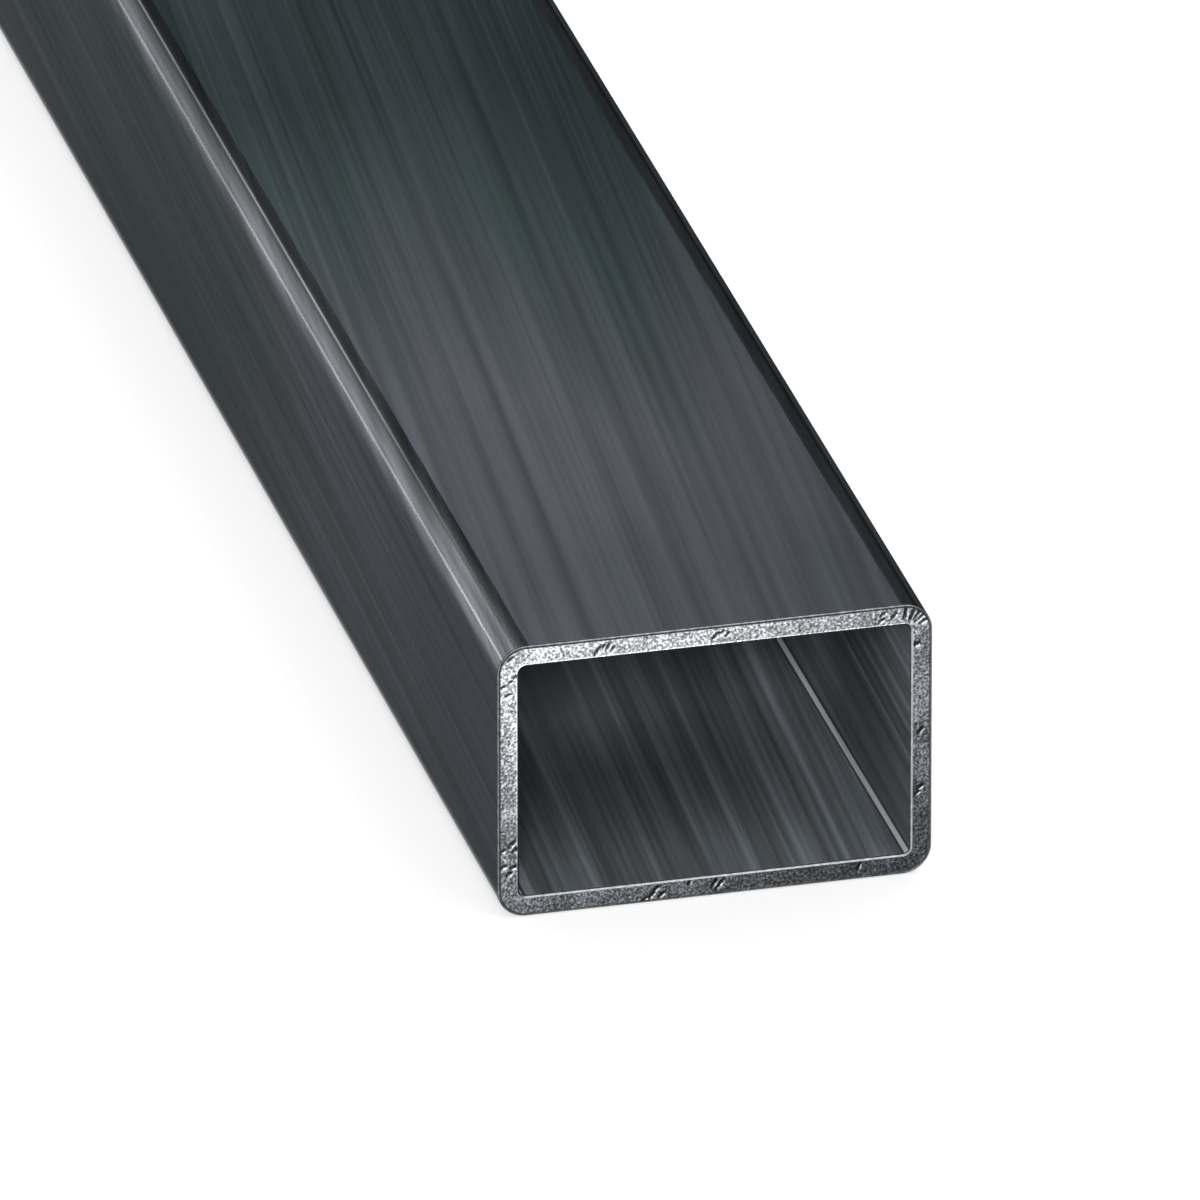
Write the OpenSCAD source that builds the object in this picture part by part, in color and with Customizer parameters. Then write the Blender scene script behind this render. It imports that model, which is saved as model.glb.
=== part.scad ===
// Rectangular steel tube: a cold-formed hollow section, sawn square at both ends.
// The bar lies on a wide side, with its length along Y and its origin under its middle.

/* [Section] */
// Outside width, across the wide sides
tube_width = 30; // [20:1:60]
// Outside height, across the narrow sides
tube_height = 20; // [15:1:40]
// Thickness of the strip that the tube is bent from
wall = 1.5; // [1:0.1:3]
// Radius inside each bend
inner_bend_radius = 0.5; // [0.3:0.1:2]

/* [Bar] */
// Length of the bar, from sawn end to sawn end
bar_length = 1000; // [250:10:6000]

/* [Sawn ends] */
// Width of the broken edge that deburring leaves round each sawn end
edge_break = 0.15; // [0.05:0.05:0.4]

/* [Hidden] */
// The strip keeps its thickness round a bend, so both faces of a bend share one centre
outer_bend_radius = inner_bend_radius + wall;
half_length = bar_length / 2;
// Distance of the bend centres from the middle of the section
bend_centre_x = tube_width / 2 - outer_bend_radius;
bend_centre_y = tube_height / 2 - outer_bend_radius;
steel_colour = [0.27, 0.29, 0.30];
$fn = 96;

// The strip seen edge on: distance from the bend centre, then place along the bar
module strip_profile() {
    flank = half_length - edge_break;
    polygon([
        [inner_bend_radius, -flank],
        [inner_bend_radius + edge_break, -half_length],
        [outer_bend_radius - edge_break, -half_length],
        [outer_bend_radius, -flank],
        [outer_bend_radius, flank],
        [outer_bend_radius - edge_break, half_length],
        [inner_bend_radius + edge_break, half_length],
        [inner_bend_radius, flank]
    ]);
}

// A flat side of the tube, facing +X, as wide as the run between two bends
module flat_side(run) {
    rotate([90, 0, 0])
        linear_extrude(height = run, center = true) strip_profile();
}

// A quarter turn of the strip, from +X round to +Y
module bend() {
    rotate_extrude(angle = 90) strip_profile();
}

// One flat side and the bend that leads from it to the next side
module side_and_bend(turn, reach, run) {
    rotate(turn)
        translate([reach, 0, 0]) {
            flat_side(run);
            translate([0, run / 2, 0]) bend();
        }
}

module rectangular_tube() {
    color(steel_colour)
        translate([0, 0, tube_height / 2])
            rotate([90, 0, 0])
                for (half_turn = [0, 180]) {
                    side_and_bend(half_turn, bend_centre_x, 2 * bend_centre_y);
                    side_and_bend(half_turn + 90, bend_centre_y, 2 * bend_centre_x);
                }
}

rectangular_tube();
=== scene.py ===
import math

import bmesh
import bpy
from mathutils import Matrix, Vector, noise


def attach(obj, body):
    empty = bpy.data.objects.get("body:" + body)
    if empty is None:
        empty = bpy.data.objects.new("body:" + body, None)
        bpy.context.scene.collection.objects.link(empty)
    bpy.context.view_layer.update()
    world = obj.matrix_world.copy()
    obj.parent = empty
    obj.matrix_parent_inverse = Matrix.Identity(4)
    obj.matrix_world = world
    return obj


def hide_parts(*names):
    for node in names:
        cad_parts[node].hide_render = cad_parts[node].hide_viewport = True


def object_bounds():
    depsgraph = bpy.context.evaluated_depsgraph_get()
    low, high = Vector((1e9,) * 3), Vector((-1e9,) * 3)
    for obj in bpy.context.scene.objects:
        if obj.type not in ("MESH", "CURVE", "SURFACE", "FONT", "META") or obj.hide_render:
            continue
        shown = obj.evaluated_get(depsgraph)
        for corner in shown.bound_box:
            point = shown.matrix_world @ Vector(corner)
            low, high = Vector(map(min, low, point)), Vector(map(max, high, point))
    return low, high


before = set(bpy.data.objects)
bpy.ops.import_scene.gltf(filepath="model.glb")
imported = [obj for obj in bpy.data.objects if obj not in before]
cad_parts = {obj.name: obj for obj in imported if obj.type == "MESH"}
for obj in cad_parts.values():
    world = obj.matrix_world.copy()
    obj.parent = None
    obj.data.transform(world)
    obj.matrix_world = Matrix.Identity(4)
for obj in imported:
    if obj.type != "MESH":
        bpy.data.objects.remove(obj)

mm = 0.001
cadLow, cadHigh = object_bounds()
print("frame loaded, box", [round(v / mm, 2) for v in cadHigh - cadLow], "mm")


# Steel tube: one strip, bent round the section and sawn at both ends

tube = {
    "name": "steel_tube",
    "wall": 1.5 * mm,
    "innerBend": 0.5 * mm,
    "edgeBreak": 0.15 * mm,     # broken edge round each sawn end
    "edgeLines": (0.22, 0.60),  # where the bare line starts and ends on the outer broken edge
    "innerLine": 0.6,           # share of the inner broken edge that is bare
    "bendSteps": 24,            # faces round each bend
    "bendMiddleSteps": (5, 15),     # those in the middle of each bend, which carry a painted highlight inside the tube
    # strip of the flats that is finished like the bend beside it, at a left-hand and a right-hand bend
    "shoulders": (0.19 * mm, 0.15 * mm),
    "columnWidth": 2.0 * mm,    # faces across the long flats
    # points that each of the faces round the section has along the sawn ends
    "splits": {"flat": 30, "shoulder": 4, "bend": 2, "rubbed": 2},
    "leadIn": 3.0 * mm,         # from the sawn end to where the wide faces start
    "grainRows": 19,            # points across the sawn wall
    "grainSize": 0.155 * mm,
    "grainDepth": 0.034 * mm,
    "grainRest": 0.9,           # middle level of the grain, in grain depths below the sawn plane
    "finerSize": 0.55,          # finer grain on top of it, as shares of its size and depth
    "finerDepth": 0.42,
    "finerShift": (7.3, 1.9, 4.4),
    "coarseSize": 1.4 * mm,     # slow unevenness left by the saw
    "coarseDepth": 0.010 * mm,
    "paintedShadeRows": 1,             # rows with a painted shade line next to the outer edge
    "nickDepth": 0.120 * mm,
    "nickReach": (2, 4),        # half lengths and half widths at which a nick has died away
    "nickLip": 0.025 * mm,      # bare ridge thrown up beside each nick
    "lipOffset": 1.8,           # half widths from the nick to its ridge
    # nicks torn across the sawn wall, in mm: place x, z, direction in degrees, half length, half width
    "nicks": [
        (-8.10, 19.10, 58, 0.40, 0.09), (-7.75, 19.29, 55, 0.28, 0.08), (-7.40, 19.31, 60, 0.30, 0.08),
        (-7.06, 19.12, 50, 0.24, 0.08), (0.02, 19.24, 48, 0.32, 0.09), (0.43, 19.41, 40, 0.24, 0.08),
        (0.85, 19.29, 45, 0.20, 0.08), (11.55, 19.45, 40, 0.24, 0.09), (11.50, 19.05, 35, 0.24, 0.09),
        (12.35, 19.30, 50, 0.28, 0.09), (13.12, 19.40, 82, 0.42, 0.10), (13.57, 19.22, 65, 0.42, 0.10),
        (13.89, 19.15, 53, 0.40, 0.10), (14.10, 18.95, 41, 0.40, 0.09), (14.38, 18.68, 27, 0.30, 0.09),
        (13.95, 17.05, 20, 0.22, 0.12), (14.16, 6.40, 35, 0.26, 0.10), (14.00, 6.00, 40, 0.22, 0.09),
        (14.20, 10.60, 50, 0.30, 0.09), (-14.06, 19.15, 40, 0.24, 0.09), (-13.75, 17.84, 45, 0.18, 0.09),
        (-14.08, 17.46, 25, 0.17, 0.08), (-14.58, 17.15, 20, 0.15, 0.08), (-14.27, 16.50, 15, 0.22, 0.08),
        (-13.99, 5.45, 50, 0.34, 0.10), (-13.76, 5.05, 50, 0.28, 0.10), (-14.62, 5.00, 35, 0.20, 0.09),
        (-13.92, 3.72, 20, 0.26, 0.10), (-14.58, 3.80, 25, 0.20, 0.09), (-14.20, 3.25, 40, 0.26, 0.10),
        (-4.84, 0.30, 42, 0.26, 0.08), (-4.35, 0.56, 48, 0.34, 0.09), (-4.07, 0.95, 40, 0.26, 0.08),
        (-3.66, 0.50, 45, 0.30, 0.08), (-1.79, 1.15, 70, 0.22, 0.09), (-0.05, 0.90, 55, 0.36, 0.09),
        (0.32, 0.78, 52, 0.48, 0.09), (9.95, 0.95, 70, 0.30, 0.08),
    ],
    # where the faces lie on the map that the export bakes through, as shares of that sheet
    "sheet": {
        "margin": 0.004,
        "sides": (0.145, 0.85),     # start and length of the long sides, up the sheet
        "outside": (0.004, 0.50),   # start and width of the outside, across the sheet
        "inside": (0.512, 0.484),
        "endWidth": 0.992,          # each sawn end lies unrolled in two rows
        "rowStep": 0.034,
        "rowHeight": 0.029,
    },
}

# Places of the finishes in the tube's list of materials
millSkin, rolledBend, boreSkin, boreShade, boreHighlight, sawnGrain, paintedShadeLine, outerEdge, innerEdge = range(9)


def walkSection(close):
    # Goes round the section from the middle of the underside: each stop is a point between bend centres,
    # the way the wall faces there and what follows it; close stops are those along the sawn ends
    bend = tube["innerBend"] + tube["wall"]
    x, low, high = cadHigh.x - bend, cadLow.z + bend, cadHigh.z - bend
    route = [(0, low), (x, low), (x, high), (-x, high), (-x, low), (0, low)]
    lastSide = len(route) - 2
    stops = []
    for side, (start, end) in enumerate(zip(route, route[1:])):
        run = math.dist(start, end)
        first = tube["shoulders"][start[0] > 0] if side > 0 else 0
        last = run - tube["shoulders"][end[0] > 0] if side < lastSide else run
        columns = round((last - first) / tube["columnWidth"])
        marks = [first + (last - first) * i / columns for i in range(columns + 1)]
        kinds = ["flat"] * columns
        if side > 0:
            marks, kinds = [0] + marks, ["shoulder"] + kinds
        if side < lastSide:
            marks, kinds = marks + [run], kinds + ["shoulder"]
        facing = (side - 1) * math.pi / 2
        for here, there, kind in zip(marks, marks[1:], kinds):
            split = tube["splits"][kind] if close else 1
            for i in range(split):
                share = (here + (there - here) * i / split) / run
                spot = [a + (b - a) * share for a, b in zip(start, end)]
                stops.append((*spot, facing, kind))
        if side < lastSide:
            for i in range(tube["bendSteps"]):
                kind = "rubbed" if i in range(*tube["bendMiddleSteps"]) else "bend"
                split = tube["splits"][kind] if close else 1
                for k in range(split):
                    turn = math.pi / 2 * (i + k / split) / tube["bendSteps"]
                    stops.append((*end, facing + turn, kind))
    return stops


def pointAt(stop, depth, y):
    reach = tube["innerBend"] + tube["wall"] - depth
    return Vector((stop[0] + reach * math.cos(stop[2]), y, stop[1] + reach * math.sin(stop[2])))


def turnShares(stops):
    # How far round the section each stop is, from 0 to 1, at the middle of the wall
    spots = [pointAt(stop, tube["wall"] / 2, 0) for stop in stops]
    run = [0.0]
    for a, b in zip(spots, spots[1:] + spots[:1]):
        run.append(run[-1] + (b - a).length)
    tube["girth"] = run[-1]
    return [v / run[-1] for v in run]


def sawnRelief(point):
    # How far the torn grain sits below the sawn plane, and how far the ridge beside a nick is lighter: fresh
    # metal with a painted highlight
    fine = noise.noise(point / tube["grainSize"])
    finer = noise.noise(point / (tube["finerSize"] * tube["grainSize"]) + Vector(tube["finerShift"]))
    coarse = noise.noise(point / tube["coarseSize"])
    depth = tube["grainDepth"] * (tube["grainRest"] + fine + tube["finerDepth"] * finer)
    depth += tube["coarseDepth"] * (1 + coarse)
    bareAndLit = 0.0
    reachAlong, reachAcross = tube["nickReach"]
    for x, z, turn, halfLength, halfWidth in tube["nicks"]:
        dx, dz = point.x / mm - x, point.z / mm - z
        c, s = math.cos(math.radians(turn)), math.sin(math.radians(turn))
        along, across = (dx * c + dz * s) / halfLength, (dz * c - dx * s) / halfWidth
        if abs(along) < reachAlong and abs(across) < reachAcross:
            lip = math.exp(-along ** 4 - (across + tube["lipOffset"]) ** 2)
            depth += tube["nickDepth"] * math.exp(-along ** 4 - across ** 2) - tube["nickLip"] * lip
            bareAndLit = max(bareAndLit, lip)
    return max(0.0, depth), bareAndLit


def sideChart(start, width):
    # Lays a long side out on the bake map
    foot, tall = tube["sheet"]["sides"]

    def place(turn, y, middle):
        return start + width * turn, foot + tall * (y - cadLow.y) / (cadHigh.y - cadLow.y)
    return place


def endChart(firstRow):
    # Lays a sawn end out on the bake map, its second half in a row above the first
    sheet = tube["sheet"]

    def place(turn, row, middle):
        half = int(middle >= 0.5)
        right = sheet["margin"] + sheet["endWidth"] * (2 * turn - half)
        return right, sheet["margin"] + sheet["rowStep"] * (firstRow + half) + sheet["rowHeight"] * row
    return place


def buildTube():
    bm = bmesh.new()
    stripMap, bakeMap = bm.loops.layers.uv.new("strip"), bm.loops.layers.uv.new("OFBake")
    sunken = bm.verts.layers.float.new("sunken")    # depth of the torn grain in mm, for its painted shade
    bared = bm.verts.layers.float.new("bared")      # 1 on the ridge beside a nick: fresh metal with a painted highlight
    crown = bm.verts.layers.float.new("crown")      # 1 at the middle of a left-hand bend
    rightBendShade = bm.verts.layers.float.new("rightBendShade")    # 1 round a right-hand bend, which gets a painted shade
    fineStops, wideStops = walkSection(True), walkSection(False)
    fineTurns, wideTurns = turnShares(fineStops), turnShares(wideStops)
    wall, edge, rows = tube["wall"], tube["edgeBreak"], tube["grainRows"]
    middleZ = (cadLow.z + cadHigh.z) / 2
    farX, farZ = max(stop[0] for stop in wideStops), max(stop[1] for stop in wideStops)
    outside = {"flat": millSkin, "shoulder": rolledBend, "bend": rolledBend, "rubbed": rolledBend}
    inside = {"flat": boreSkin, "shoulder": boreSkin, "bend": boreShade, "rubbed": boreHighlight}
    outChart, boreChart = sideChart(*tube["sheet"]["outside"]), sideChart(*tube["sheet"]["inside"])

    def ring(stops, depth, y):
        verts = [bm.verts.new(pointAt(stop, depth, y)) for stop in stops]
        for vert, stop in zip(verts, stops):
            if stop[0] < 0:
                vert[crown] = abs(math.sin(2 * stop[2]))
            else:
                away = farX - stop[0] + farZ - middleZ - abs(stop[1] - middleZ)
                vert[rightBendShade] = max(0, 1 - away / tube["shoulders"][1])
        return verts

    def face(corners, finish, flip, chart):
        # corners are (vert, turn, row); a face of the long sides has no row and is placed by its y
        corners = corners[::-1] if flip else corners
        made = bm.faces.new([c[0] for c in corners])
        made.material_index = finish
        made.smooth = True
        middle = sum(c[1] for c in corners) / len(corners)
        for loop, (vert, turn, row) in zip(made.loops, corners):
            loop[stripMap].uv = (turn, vert.co.y)
            loop[bakeMap].uv = chart(turn, row if row is not None else vert.co.y, middle)

    def strip(first, second, finish, flip, chart, levels=(None, None)):
        # A closed row of faces between two rings
        close = len(first) == len(fineStops)
        stops, turns = (fineStops, fineTurns) if close else (wideStops, wideTurns)
        for i, stop in enumerate(stops):
            j = (i + 1) % len(stops)
            corners = [(first[i], turns[i], levels[0]), (first[j], turns[i + 1], levels[0]),
                       (second[j], turns[i + 1], levels[1]), (second[i], turns[i], levels[1])]
            face(corners, finish[stop[3]] if isinstance(finish, dict) else finish, flip, chart)

    def leadIn(fine, wide, finish, flip, chart):
        # Joins the close points of a sawn edge to the wide columns of the long sides
        f = 0
        for w, stop in enumerate(wideStops):
            run = tube["splits"][stop[3]]
            corners = [(fine[(f + i) % len(fine)], fineTurns[f + i], None) for i in range(run + 1)]
            corners += [(wide[(w + 1) % len(wide)], wideTurns[w + 1], None), (wide[w], wideTurns[w], None)]
            face(corners, finish[stop[3]], flip, chart)
            f += run

    def sharpen(verts):
        for a, b in zip(verts, verts[1:] + verts[:1]):
            bm.edges.get((a, b)).smooth = False

    def sawnEnd(end, plane):
        # One end, from its broken edges and torn grain to the rings that the long sides start from
        back = end > 0
        chart = endChart(2 if back else 0)
        outerRim, innerRim = ring(fineStops, 0, plane - end * edge), ring(fineStops, wall, plane - end * edge)
        lines = [ring(fineStops, edge * share, plane - end * edge * (1 - share))
                 for share in tube["edgeLines"]]
        across = [ring(fineStops, edge + (wall - 2 * edge) * k / (rows - 1), plane) for k in range(rows)]
        for row in across[1:-1]:
            for vert in row:
                depth, vert[bared] = sawnRelief(vert.co)
                vert[sunken] = depth / mm
                vert.co.y -= end * depth
        share = tube["innerLine"]
        innerLine = ring(fineStops, wall - edge * (1 - share), plane - end * edge * share)
        rings = [outerRim, *lines, *across, innerLine, innerRim]
        # painted shade lines on either side of the bare outer line, and at the inner rim
        looks = [paintedShadeLine, outerEdge, paintedShadeLine] + [paintedShadeLine] * tube["paintedShadeRows"]
        looks += [sawnGrain] * (len(rings) - 3 - len(looks)) + [innerEdge, paintedShadeLine]
        for k, finish in enumerate(looks):
            strip(rings[k], rings[k + 1], finish, not back, chart, (k / len(looks), (k + 1) / len(looks)))
        leadY = plane - end * (edge + tube["leadIn"])
        outerLead, innerLead = ring(wideStops, 0, leadY), ring(wideStops, wall, leadY)
        leadIn(outerRim, outerLead, outside, back, outChart)
        leadIn(innerRim, innerLead, inside, not back, boreChart)
        for rim in (outerRim, across[0], across[-1], innerRim):
            sharpen(rim)
        return outerLead, innerLead

    nearOuter, nearInner = sawnEnd(-1, cadLow.y)
    farOuter, farInner = sawnEnd(1, cadHigh.y)
    strip(nearOuter, farOuter, outside, False, outChart)
    strip(nearInner, farInner, inside, True, boreChart)
    mesh = bpy.data.meshes.new(tube["name"])
    bm.to_mesh(mesh)
    bm.free()
    piece = bpy.data.objects.new(tube["name"], mesh)
    bpy.context.scene.collection.objects.link(piece)
    flatSides = piece.modifiers.new("flatSides", "WEIGHTED_NORMAL")   # keeps the flats flat next to the bends
    flatSides.keep_sharp = True
    return piece


steelTube = buildTube()
print("tube built,", len(steelTube.data.polygons), "faces, girth", round(tube["girth"] / mm, 2), "mm")


# Finishes

def newFinish(name):
    material = bpy.data.materials.new(name)
    material.use_nodes = True
    tree = material.node_tree
    return material, tree, tree.nodes["Principled BSDF"]


def addNode(tree, kind, **values):
    node = tree.nodes.new(kind)
    for key, value in values.items():
        if key in node.inputs:
            node.inputs[key].default_value = value
        else:
            setattr(node, key, value)
    return node


def calc(tree, operation, a, b=0.0, c=0.0, clamp=False):
    node = addNode(tree, "ShaderNodeMath", operation=operation, use_clamp=clamp)
    for socket, value in zip(node.inputs, (a, b, c)):
        if isinstance(value, bpy.types.NodeSocket):
            tree.links.new(value, socket)
        else:
            socket.default_value = value
    return node.outputs[0]


def between(tree, source, start, end):
    # 0 up to the start, 1 from the end on
    return calc(tree, "DIVIDE", calc(tree, "SUBTRACT", source, start), end - start, clamp=True)


def swing(tree, source, depth):
    # A noise pattern as a swing to either side of none
    return calc(tree, "MULTIPLY_ADD", source, depth, -depth / 2)


def attribute(tree, name):
    return addNode(tree, "ShaderNodeAttribute", attribute_name=name).outputs["Fac"]


def xyzOf(tree, vector):
    apart = addNode(tree, "ShaderNodeSeparateXYZ")
    tree.links.new(vector, apart.inputs["Vector"])
    return apart.outputs


def roundTheStrip(tree, skew):
    # Place on the strip as a point on a drum, so that a pattern meets itself, and the distance in from
    # the nearer sawn end; skew turns the pattern off the tube's line
    strip = xyzOf(tree, addNode(tree, "ShaderNodeUVMap", uv_map="strip").outputs["UV"])
    slant = math.tan(math.radians(skew)) / tube["girth"]
    turn = calc(tree, "MULTIPLY_ADD", strip["Y"], slant, strip["X"])
    angle = calc(tree, "MULTIPLY", turn, 2 * math.pi)
    drum = addNode(tree, "ShaderNodeCombineXYZ")
    tree.links.new(calc(tree, "COSINE", angle), drum.inputs["X"])
    tree.links.new(calc(tree, "SINE", angle), drum.inputs["Y"])
    tree.links.new(strip["Y"], drum.inputs["Z"])
    inward = calc(tree, "SUBTRACT", cadHigh.y, calc(tree, "ABSOLUTE", strip["Y"]))
    return drum.outputs["Vector"], inward


def stretched(tree, vector, scale, detail, seed, rough):
    stretch = addNode(tree, "ShaderNodeMapping", vector_type="TEXTURE", Scale=scale)
    pattern = addNode(tree, "ShaderNodeTexNoise", noise_dimensions="4D", Scale=1.0, Detail=detail,
                      Roughness=rough, W=seed)
    tree.links.new(vector, stretch.inputs["Vector"])
    tree.links.new(stretch.outputs["Vector"], pattern.inputs["Vector"])
    return pattern.outputs["Fac"]


def streaks(tree, drum, width, length, detail, seed, rough=0.5):
    # Noise drawn out along the tube
    radius = tube["girth"] / (2 * math.pi)
    return stretched(tree, drum, (width / radius, width / radius, length), detail, seed, rough)


def grains(tree, size, detail, seed, rough=0.5):
    # Noise in the round, for the sawn ends
    place = addNode(tree, "ShaderNodeTexCoord").outputs["Object"]
    return stretched(tree, place, (size, size, size), detail, seed, rough)


def ramp(tree, source, stops):
    node = addNode(tree, "ShaderNodeValToRGB")
    elements = node.color_ramp.elements
    while len(elements) < len(stops):
        elements.new(0.5)
    for element, (place, colour) in zip(elements, stops):
        element.position = place
        element.color = (*colour, 1) if isinstance(colour, tuple) else (colour, colour, colour, 1)
    tree.links.new(source, node.inputs["Fac"])
    return node.outputs["Color"]


def spread(tree, source, low, high, levels=(0.3, 0.7)):
    # Takes a noise pattern from low to high between two of its levels
    return ramp(tree, source, [(levels[0], low), (levels[1], high)])


def blend(tree, a, b, factor, mode="MIX"):
    node = addNode(tree, "ShaderNodeMix", data_type="RGBA", blend_type=mode)
    for socket, value in ((node.inputs[0], factor), (node.inputs[6], a), (node.inputs[7], b)):
        if isinstance(value, bpy.types.NodeSocket):
            tree.links.new(value, socket)
        else:
            socket.default_value = (*value, 1) if isinstance(value, tuple) else value
    return node.outputs[2]


def shaded(tree, colour, shade, share=1.0):
    return blend(tree, colour, shade, share, "MULTIPLY")


def raised(tree, shader, height, strength, distance):
    bump = addNode(tree, "ShaderNodeBump", Strength=strength, Distance=distance)
    tree.links.new(height, bump.inputs["Height"])
    tree.links.new(bump.outputs["Normal"], shader.inputs["Normal"])


skin = {
    # slate at the ends, greyer behind and green black along the middle
    "tones": [(0.0, (0.0632, 0.0692, 0.077)), (0.12, (0.0722, 0.0785, 0.0868)),
              (0.36, (0.0775, 0.084, 0.0925)), (0.55, (0.061, 0.0705, 0.0745)),
              (0.72, (0.048, 0.0625, 0.064)), (1.0, (0.0347, 0.045, 0.0458))],
    "toneChange": (8 * mm, 88 * mm),      # distance from an end over which the tone turns
    "patchDepth": 1.2,                    # how uneven that is
    "settled": (110 * mm, 240 * mm),      # further in, it drifts back and forth
    "driftLevels": [(0.42, 0.0), (0.60, 0.75)],
    "cast": (1.015, 0.995, 1.015),        # cooler patches among the tones
    "castLevels": [(0.42, 0.0), (0.58, 1.0)],
    "paintedLightLean": 0.18,                         # painted shade: darker towards the right of the top, lighter towards its left
    "sideShare": 0.32,                    # how much less the narrow sides turn
    # noise drawn out along the tube: width, length, detail and seed
    "broad": (1.1 * mm, 115 * mm, 3.0, 1.0),
    "fine": (0.26 * mm, 70 * mm, 2.0, 5.0),
    "cloud": (9 * mm, 110 * mm, 2.0, 9.0),
    "scratch": (0.10 * mm, 14 * mm, 0.0, 21.0),
    "castPatch": (3.5 * mm, 60 * mm, 2.0, 27.0),
    "drift": (60 * mm, 150 * mm, 1.0, 33.0),
    "skew": 4.2,                          # degrees that it runs off the tube's line
    "broadShades": (0.75, 1.25),
    "wideShades": (0.92, 1.08),           # fine streaks of the wide sides
    "narrowShades": (0.70, 1.13),         # and of the narrow sides
    "scratchShades": [(0.56, 1.0), (0.64, 0.68)],
    "scratchPatches": [(0.44, 0.0), (0.54, 1.0)],
    "flatGloss": (0.30, 0.42),
    "flatBump": (0.10, 0.01 * mm),        # strength and height
    "edgeTint": (0.375, 0.380, 0.385),    # holds back the glare at low angles
    "crownTint": (0.62, 0.63, 0.64),      # less so at the middle of the left-hand bends
    "bendGloss": (0.14, 0.20),
    "bendBump": (0.05, 0.01 * mm),
    "bendTone": (0.068, 0.0715, 0.0755),
    "bendToneShare": [(0.90, 0.9), (0.99, 0.3)],
    "bendShade": [(0.4, 1.0), (1.0, 0.62)],     # painted shade: darker left-hand bends away from the ends
    # painted highlight and shade on the left-hand bends, from the top of a bend round to its side: all along,
    # in the last few centimetres, and next to the saw cut
    "bendFall": [(0.30, 1.1), (0.335, 2.2), (0.37, 0.70), (0.41, 0.55), (0.52, 0.95), (0.64, 1.05),
                 (0.76, 0.80), (0.82, 0.95), (0.855, 1.3), (0.885, 1.6), (0.905, 1.5), (0.94, 1.4), (1.0, 0.80)],
    "bendEndShade": [(0.0, 0.45), (0.18, 1.0), (0.27, 1.0), (0.34, 0.30), (0.365, 0.60), (0.43, 0.95),
                 (0.50, 0.78), (0.62, 0.80), (0.78, 1.0)],
    "bendSoft": [(0.0, 1.2), (0.26, 1.65), (0.34, 0.9), (0.375, 1.75), (0.41, 2.8), (0.52, 1.5), (0.62, 1.0),
                 (0.78, 1.0), (0.82, 1.35), (0.86, 0.9), (0.90, 1.5), (0.965, 1.8), (1.0, 1.1)],
    "endShadeReach": (52 * mm, 22 * mm),      # distances from an end at which they start and are full
    "softReach": (24 * mm, 12 * mm),
    # painted shade on a right-hand bend, and its painted shading from the top round to the side
    "paintedShadeTone": (0.312, 0.34, 0.345),
    "paintedShadeFall": [(0.0, 1.1), (0.31, 1.08), (0.38, 0.65), (0.43, 0.36), (0.475, 0.7), (0.52, 1.6),
                  (0.72, 1.75), (1.0, 1.2)],
}


def skinTone(tree, drum, inward, sideways, cloud):
    # Distance in from the nearer end turns the tone from slate to green black, in uneven patches
    turned = between(tree, inward, *skin["toneChange"])
    turned = calc(tree, "ADD", turned, swing(tree, cloud, skin["patchDepth"]), clamp=True)
    drift = ramp(tree, streaks(tree, drum, *skin["drift"]), skin["driftLevels"])
    drift = calc(tree, "MULTIPLY", drift, between(tree, inward, *skin["settled"]))
    turned = calc(tree, "SUBTRACT", turned, drift, clamp=True)
    turned = calc(tree, "MULTIPLY", turned, calc(tree, "MULTIPLY_ADD", sideways, -skin["sideShare"], 1.0))
    cast = ramp(tree, streaks(tree, drum, *skin["castPatch"]), skin["castLevels"])
    return shaded(tree, ramp(tree, turned, skin["tones"]), skin["cast"], cast), turned


def skinStreaks(tree, colour, drum, fine, sideways, cloud):
    # The narrow sides are more streaked and scratched than the wide ones
    broad = streaks(tree, drum, *skin["broad"])
    colour = shaded(tree, colour, spread(tree, broad, *skin["broadShades"]))
    wide, narrow = spread(tree, fine, *skin["wideShades"]), spread(tree, fine, *skin["narrowShades"])
    colour = shaded(tree, colour, blend(tree, wide, narrow, sideways))
    scratch = ramp(tree, streaks(tree, drum, *skin["scratch"]), skin["scratchShades"])
    cluster = calc(tree, "MULTIPLY", ramp(tree, cloud, skin["scratchPatches"]), sideways)
    return shaded(tree, colour, scratch, cluster)


def bendLooks(tree, shader, colour, turned, inward, sideways):
    # Left-hand bends get a painted highlight and shading round them, right-hand ones a painted shade, dark and
    # not metal
    shadedRight = attribute(tree, "rightBendShade")
    bareAndLit = calc(tree, "SUBTRACT", 1.0, shadedRight)
    tint = blend(tree, skin["edgeTint"], skin["crownTint"], attribute(tree, "crown"))
    tree.links.new(tint, shader.inputs["Specular Tint"])
    tree.links.new(bareAndLit, shader.inputs["Metallic"])
    shader.inputs["Specular IOR Level"].default_value = 0.0
    # painted highlight and shade on the left-hand bends, all along and near the ends
    endShaded = calc(tree, "MULTIPLY", between(tree, inward, *skin["endShadeReach"]), bareAndLit)
    softened = calc(tree, "MULTIPLY", between(tree, inward, *skin["softReach"]), bareAndLit)
    colour = shaded(tree, colour, ramp(tree, turned, skin["bendShade"]), bareAndLit)
    # painted shade on the right-hand bends, which are also left without metal
    colour = shaded(tree, colour, skin["paintedShadeTone"], shadedRight)
    falls = {"paintedShadeFall": shadedRight, "bendFall": bareAndLit, "bendEndShade": endShaded, "bendSoft": softened}
    for shades, share in falls.items():
        colour = shaded(tree, colour, ramp(tree, sideways, skin[shades]), share)
    return colour


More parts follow.
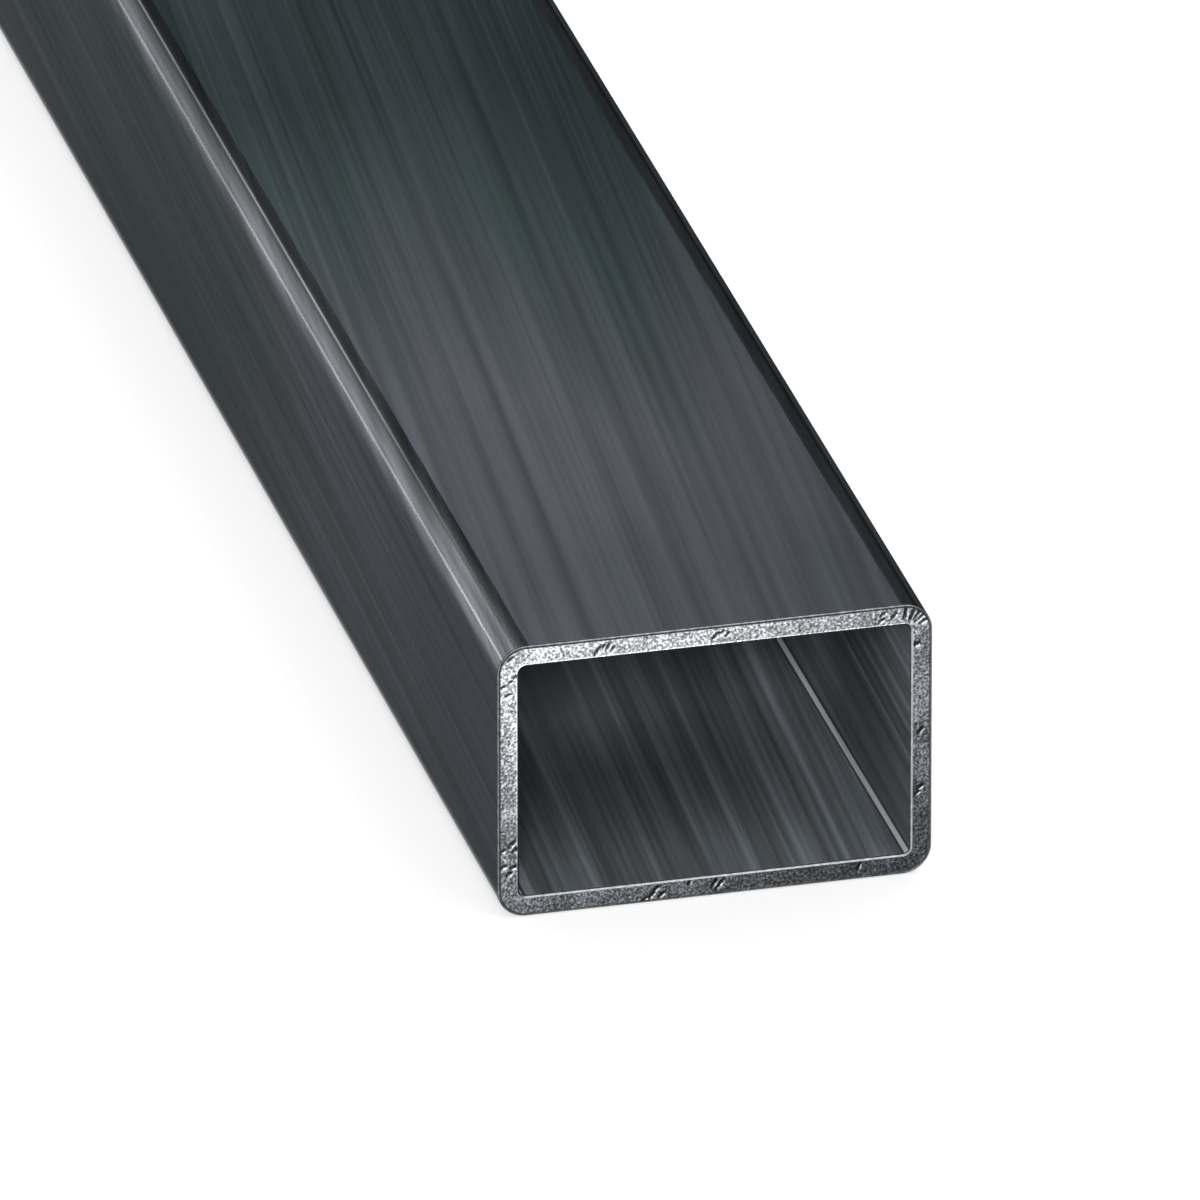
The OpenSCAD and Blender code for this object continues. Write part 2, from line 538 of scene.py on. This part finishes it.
def outerSkin(name, onBend):
    material, tree, shader = newFinish(name)
    drum, inward = roundTheStrip(tree, skin["skew"])
    fine, cloud = streaks(tree, drum, *skin["fine"]), streaks(tree, drum, *skin["cloud"])
    place = addNode(tree, "ShaderNodeTexCoord")
    spot, facing = xyzOf(tree, place.outputs["Object"]), xyzOf(tree, place.outputs["Normal"])
    sideways = calc(tree, "ABSOLUTE", facing["X"])
    tone, turned = skinTone(tree, drum, inward, sideways, cloud)
    if onBend:
        tone = blend(tree, tone, skin["bendTone"], ramp(tree, sideways, skin["bendToneShare"]))
    colour = skinStreaks(tree, tone, drum, fine, sideways, cloud)
    # painted shade across the top, darker towards its right
    paintedLightLean = calc(tree, "MULTIPLY", spot["X"], facing["Z"])
    paintedLightLean = calc(tree, "MULTIPLY_ADD", paintedLightLean, -skin["paintedLightLean"] / cadHigh.x, 1.0)
    colour = shaded(tree, colour, paintedLightLean)
    if onBend:
        colour = bendLooks(tree, shader, colour, turned, inward, sideways)
    else:
        shader.inputs["Metallic"].default_value = 1.0
        shader.inputs["Specular Tint"].default_value = (*skin["edgeTint"], 1)
    gloss = spread(tree, fine, *skin["bendGloss" if onBend else "flatGloss"])
    tree.links.new(colour, shader.inputs["Base Color"])
    tree.links.new(gloss, shader.inputs["Roughness"])
    raised(tree, shader, fine, *skin["bendBump" if onBend else "flatBump"])
    return material


bore = {
    "tones": [(0.28, (0.046, 0.046, 0.047)), (0.44, (0.069, 0.078, 0.084)), (0.56, (0.095, 0.107, 0.117)),
              (0.72, (0.150, 0.168, 0.185))],
    # noise drawn out along the tube: width, length, detail, seed and roughness
    "broad": (1.6 * mm, 70 * mm, 3.0, 14.0, 0.6),
    "fine": (0.35 * mm, 60 * mm, 2.0, 17.0),
    "patch": (7 * mm, 45 * mm, 2.0, 23.0),
    "skew": -3.1,
    "patchDepth": 0.6,
    "fineShades": (0.70, 1.30),
    "depth": 50 * mm,
    # as shares of that depth: painted light that makes the steel lighter on the way in, and where a darker cloud
    # lies
    "shades": [(0.0, 1.6), (0.48, 1.65), (0.62, 1.85), (0.90, 1.5)],
    "cloud": [(0.08, 1.0), (0.24, 0.72), (0.34, 0.62), (0.42, 0.77), (0.50, 1.0)],
    # from left to right across the tube
    "cloudSides": [(0.43, 1.0), (0.80, 0.0), (0.935, 0.0), (0.945, 1.0)],
    "besideBends": 0.55,            # painted shade in the inner bends beside the highlight lines
    "rubbed": ((0.43, 0.458, 0.48), (0.58, 0.618, 0.648)),   # painted highlight: a light line along each inner bend
    "bendMiddleShare": 0.3,             # how much of the painted light and shade reaches that line
    "gloss": (0.45, 0.58),
    "metal": 0.15,
    "shine": 0.2,
    "bump": (0.1, 0.02 * mm),       # strength and height
}


def boreFinish(name, onBend=False, shading=1.0):
    material, tree, shader = newFinish(name)
    drum, inward = roundTheStrip(tree, bore["skew"])
    broad, fine = streaks(tree, drum, *bore["broad"]), streaks(tree, drum, *bore["fine"])
    deep = calc(tree, "DIVIDE", inward, bore["depth"], clamp=True)
    spot = xyzOf(tree, addNode(tree, "ShaderNodeTexCoord").outputs["Object"])
    side = ramp(tree, between(tree, spot["X"], cadLow.x, cadHigh.x), bore["cloudSides"])
    # painted light along the bore, and the darker cloud
    shade = shaded(tree, ramp(tree, deep, bore["shades"]), ramp(tree, deep, bore["cloud"]), side)
    if onBend:
        colour = shaded(tree, spread(tree, fine, *bore["rubbed"]), shade, bore["bendMiddleShare"])
    else:
        patch = swing(tree, streaks(tree, drum, *bore["patch"]), bore["patchDepth"])
        colour = ramp(tree, calc(tree, "ADD", broad, patch), bore["tones"])
        low, high = bore["fineShades"]
        colour = shaded(tree, colour, spread(tree, fine, low * shading, high * shading))
        colour = shaded(tree, colour, shade)
    tree.links.new(colour, shader.inputs["Base Color"])
    tree.links.new(spread(tree, fine, *bore["gloss"]), shader.inputs["Roughness"])
    shader.inputs["Metallic"].default_value = bore["metal"]
    shader.inputs["Specular IOR Level"].default_value = bore["shine"]
    raised(tree, shader, broad, *bore["bump"])
    return material


grain = {
    # colour of the torn steel with painted light on it, from dark at the low right of an end to bright at its
    # high left
    "tones": [(0.0, (0.070, 0.076, 0.084)), (0.18, (0.105, 0.112, 0.122)), (0.36, (0.205, 0.218, 0.233)),
              (0.52, (0.27, 0.286, 0.305)), (0.60, (0.385, 0.407, 0.430)), (1.0, (0.93, 0.97, 1.0))],
    "paintedLightLean": 0.35,                       # how much the width counts beside the height in that painted light
    # noise in the round: size, detail, seed and roughness
    "drift": (2.2 * mm, 2.0, 3.0),
    "speck": (0.175 * mm, 2.0, 6.0, 0.6),
    "driftDepth": 0.3,
    "specks": [(0.38, 0.55), (0.50, 1.0), (0.62, 1.40)],
    # painted light and shade, from lighter on the high grain to darker deep in it
    "hollowShade": [(0.10, 1.58), (0.30, 1.16), (0.42, 0.56), (0.60, 0.22), (1.0, 0.07)],
    "deepest": 0.10,                    # mm
    "bareAndLit": (0.54, 0.57, 0.60),         # fresh metal beside a nick, lighter as a painted highlight
    "bareShare": [(0.50, 0.0), (0.95, 0.85)],
    "gloss": (0.50, 0.30),
    "glossLevels": (0.35, 0.65),
    "metal": 0.9,
    "bump": (0.5, 0.04 * mm),           # strength and height
}


def paintedLightSlope(tree):
    # Painted light across a sawn end: 0 at the low right of an end, 1 at its high left
    spot = xyzOf(tree, addNode(tree, "ShaderNodeTexCoord").outputs["Object"])
    lift = calc(tree, "DIVIDE", spot["Z"], cadHigh.z)
    slope = calc(tree, "MULTIPLY_ADD", spot["X"], -grain["paintedLightLean"] / cadHigh.x, lift)
    whole = 1 + 2 * grain["paintedLightLean"]
    return calc(tree, "MULTIPLY_ADD", slope, 1 / whole, grain["paintedLightLean"] / whole)


def sawnFinish(name):
    material, tree, shader = newFinish(name)
    drift = swing(tree, grains(tree, *grain["drift"]), grain["driftDepth"])
    speck = grains(tree, *grain["speck"])
    # painted light, lighter towards the high left of the end
    colour = ramp(tree, calc(tree, "ADD", paintedLightSlope(tree), drift), grain["tones"])
    colour = shaded(tree, colour, ramp(tree, speck, grain["specks"]))
    # painted shade down in the torn grain and the nicks, painted light on its high points
    deep = calc(tree, "DIVIDE", attribute(tree, "sunken"), grain["deepest"], clamp=True)
    colour = shaded(tree, colour, ramp(tree, deep, grain["hollowShade"]))
    # lighter ridges beside the nicks: fresh metal with a painted highlight
    colour = blend(tree, colour, grain["bareAndLit"], ramp(tree, attribute(tree, "bared"), grain["bareShare"]))
    gloss = spread(tree, speck, *grain["gloss"], grain["glossLevels"])
    tree.links.new(colour, shader.inputs["Base Color"])
    tree.links.new(gloss, shader.inputs["Roughness"])
    shader.inputs["Metallic"].default_value = grain["metal"]
    raised(tree, shader, speck, *grain["bump"])
    return material


edges = {
    "nibble": (0.45 * mm, 2.0, 11.0),   # noise in the round: size, detail and seed
    "nibbleLevels": (0.32, 0.68),
    "shadeLevels": (0.35, 0.80),
    "bump": (0.2, 0.01 * mm),           # strength and height
    # colours and gloss where an edge is dull and where it is nibbled bare, the painted shade where it faces
    # down or to the right, and how much the width counts there beside the height
    # painted shade lines beside the broken edges
    "paintedShadeLine": {"colours": (0.03, 0.09), "gloss": (0.55, 0.45)},
    "outerEdge": {"colours": ((0.22, 0.232, 0.25), (0.42, 0.445, 0.475)), "gloss": (0.40, 0.30),
                  "shaded": 0.25, "leftShare": 0.25},
    "innerEdge": {"colours": ((0.42, 0.44, 0.465), (0.58, 0.61, 0.64)), "gloss": (0.40, 0.30),
                  "shaded": 0.15, "leftShare": 1.0},
}


def edgeFinish(name):
    look = edges[name]
    material, tree, shader = newFinish(name)
    nibbled = grains(tree, *edges["nibble"])
    colour = spread(tree, nibbled, *look["colours"], edges["nibbleLevels"])
    # painted shade on the edges that face down or to the right
    if "shaded" in look:
        facing = xyzOf(tree, addNode(tree, "ShaderNodeTexCoord").outputs["Normal"])
        lit = calc(tree, "MULTIPLY_ADD", facing["X"], -look["leftShare"], facing["Z"])
        lit = calc(tree, "MULTIPLY_ADD", lit, 0.5, 0.5)
        colour = shaded(tree, colour, spread(tree, lit, look["shaded"], 1.0, edges["shadeLevels"]))
    gloss = spread(tree, nibbled, *look["gloss"], edges["nibbleLevels"])
    tree.links.new(colour, shader.inputs["Base Color"])
    tree.links.new(gloss, shader.inputs["Roughness"])
    shader.inputs["Metallic"].default_value = 1.0
    raised(tree, shader, nibbled, *edges["bump"])
    return material


finishes = [
    outerSkin("millSkin", False), outerSkin("rolledBend", True),
    boreFinish("boreSkin"), boreFinish("boreShade", shading=bore["besideBends"]),
    boreFinish("boreHighlight", True),
    sawnFinish("sawnGrain"),
    edgeFinish("paintedShadeLine"), edgeFinish("outerEdge"), edgeFinish("innerEdge"),
]
for material in finishes:
    steelTube.data.materials.append(material)
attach(steelTube, "root")
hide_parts("rectangular_tube")
print("tube finished with", len(steelTube.data.materials), "materials")


# Studio: pale floor, soft light, and the photograph's view

studio = {
    "floorHalf": 40.0,
    "floorDrop": 0.05 * mm,      # keeps the floor just clear of the underside
    "floorColour": (0.86, 0.86, 0.86, 1),
    "floorGlow": 0.38,
    "roomColour": (0.47, 0.47, 0.48, 1),
    # soft boxes as seen from the near end: degrees right of +Y, from and to, degrees up, from and to,
    # distance in metres and brightness
    "boxes": {
        "cornerBand": ((-38, -8.5), (6.5, 30), 2.4, 1.8),
        "cornerGlow": ((-40, -20), (6.5, 15), 2.35, 1.3),
        "cornerLine": ((-44, -18), (1.1, 4.7), 2.3, 7.6),
        "cornerTrim": ((-7.15, -4.15), (18.5, 28.2), 2.3, 4.0),
        "topSheet": ((16, 46), (26, 54), 3.0, 3.4),
        "endLight": ((135, 165), (48, 72), 1.5, 1.2),
    },
    "fillSpread": 14.0,          # degrees
    "fillStrength": 2.2,
}

photo = {
    "frame": 1200,                      # pixels each way
    "azimuth": -14.23,                  # degrees round the tube and up from the floor
    "elevation": 25.476,
    "lens": 990.9,
    "sensor": 36.0,
    "farClip": 200.0,
    "anchorPixel": (715.0, 895.3),      # lower middle of the near sawn end
    "pixelsPerMetre": 14925.0,
}


def pointing(azimuth, elevation):
    # Unit vector out from the tube, azimuth in degrees right of +Y
    a, e = math.radians(azimuth), math.radians(elevation)
    return Vector((math.sin(a) * math.cos(e), math.cos(a) * math.cos(e), math.sin(e)))


def viewBack():
    # From the tube towards the camera
    return pointing(180 - photo["azimuth"], photo["elevation"])


def addToScene(name, data):
    thing = bpy.data.objects.new(name, data)
    bpy.context.scene.collection.objects.link(thing)
    return thing


def makeFloor():
    half = studio["floorHalf"]
    mesh = bpy.data.meshes.new("studio_floor")
    corners = [(-half, -half), (half, -half), (half, half), (-half, half)]
    mesh.from_pydata([(x, y, -studio["floorDrop"]) for x, y in corners], [], [(0, 1, 2, 3)])
    floor = addToScene("studio_floor", mesh)
    material = bpy.data.materials.new("paleFloor")
    material.use_nodes = True
    tree = material.node_tree
    tree.nodes.clear()
    paint = addNode(tree, "ShaderNodeBsdfDiffuse", Color=studio["floorColour"])
    ray = addNode(tree, "ShaderNodeLightPath")
    seen = calc(tree, "MAXIMUM", ray.outputs["Is Camera Ray"], ray.outputs["Is Glossy Ray"])
    seen = calc(tree, "MAXIMUM", seen, ray.outputs["Is Transmission Ray"])
    glow = addNode(tree, "ShaderNodeEmission")
    tree.links.new(calc(tree, "MULTIPLY", seen, studio["floorGlow"]), glow.inputs["Strength"])
    both = addNode(tree, "ShaderNodeAddShader")
    tree.links.new(paint.outputs[0], both.inputs[0])
    tree.links.new(glow.outputs[0], both.inputs[1])
    output = addNode(tree, "ShaderNodeOutputMaterial")
    tree.links.new(both.outputs[0], output.inputs["Surface"])
    mesh.materials.append(material)


def makeLights():
    nearEnd = Vector((0, cadLow.y, cadHigh.z))
    for name, (sideways, heights, distance, brightness) in studio["boxes"].items():
        towards = pointing(sum(sideways) / 2, sum(heights) / 2)
        data = bpy.data.lights.new(name, "AREA")
        data.shape = "RECTANGLE"
        data.size = 2 * distance * math.tan(math.radians(sideways[1] - sideways[0]) / 2)
        data.size_y = 2 * distance * math.tan(math.radians(heights[1] - heights[0]) / 2)
        data.energy = brightness * math.pi * data.size * data.size_y
        lamp = addToScene(name, data)
        lamp.location = nearEnd + towards * distance
        lamp.rotation_euler = towards.to_track_quat("Z", "Y").to_euler()
        lamp.visible_camera = False
    data = bpy.data.lights.new("fillSun", "SUN")
    data.energy = studio["fillStrength"]
    data.angle = math.radians(studio["fillSpread"])
    addToScene("fillSun", data).rotation_euler = viewBack().to_track_quat("Z", "Y").to_euler()
    room = bpy.data.worlds.new("paleRoom")
    room.use_nodes = True
    room.node_tree.nodes["Background"].inputs["Color"].default_value = studio["roomColour"]
    bpy.context.scene.world = room


def makeCamera():
    a = math.radians(photo["azimuth"])
    back, right = viewBack(), Vector((math.cos(a), math.sin(a), 0))
    up = back.cross(right)
    focal = photo["lens"] / photo["sensor"] * photo["frame"]
    distance = focal / photo["pixelsPerMetre"]
    anchor = Vector((0, cadLow.y, cadLow.z))
    offX = (photo["anchorPixel"][0] - photo["frame"] / 2) / photo["pixelsPerMetre"]
    offY = (photo["frame"] / 2 - photo["anchorPixel"][1]) / photo["pixelsPerMetre"]
    data = bpy.data.cameras.new("photoCamera")
    data.lens, data.sensor_width, data.clip_end = photo["lens"], photo["sensor"], photo["farClip"]
    camera = addToScene("photoCamera", data)
    place = anchor - right * offX - up * offY + back * distance
    camera.matrix_world = Matrix.Translation(place) @ Matrix((right, up, back)).transposed().to_4x4()
    bpy.context.scene.camera = camera


makeFloor()
makeLights()
makeCamera()
bpy.context.scene.view_settings.view_transform = "Standard"
print("studio ready,", len(studio["boxes"]), "soft boxes")
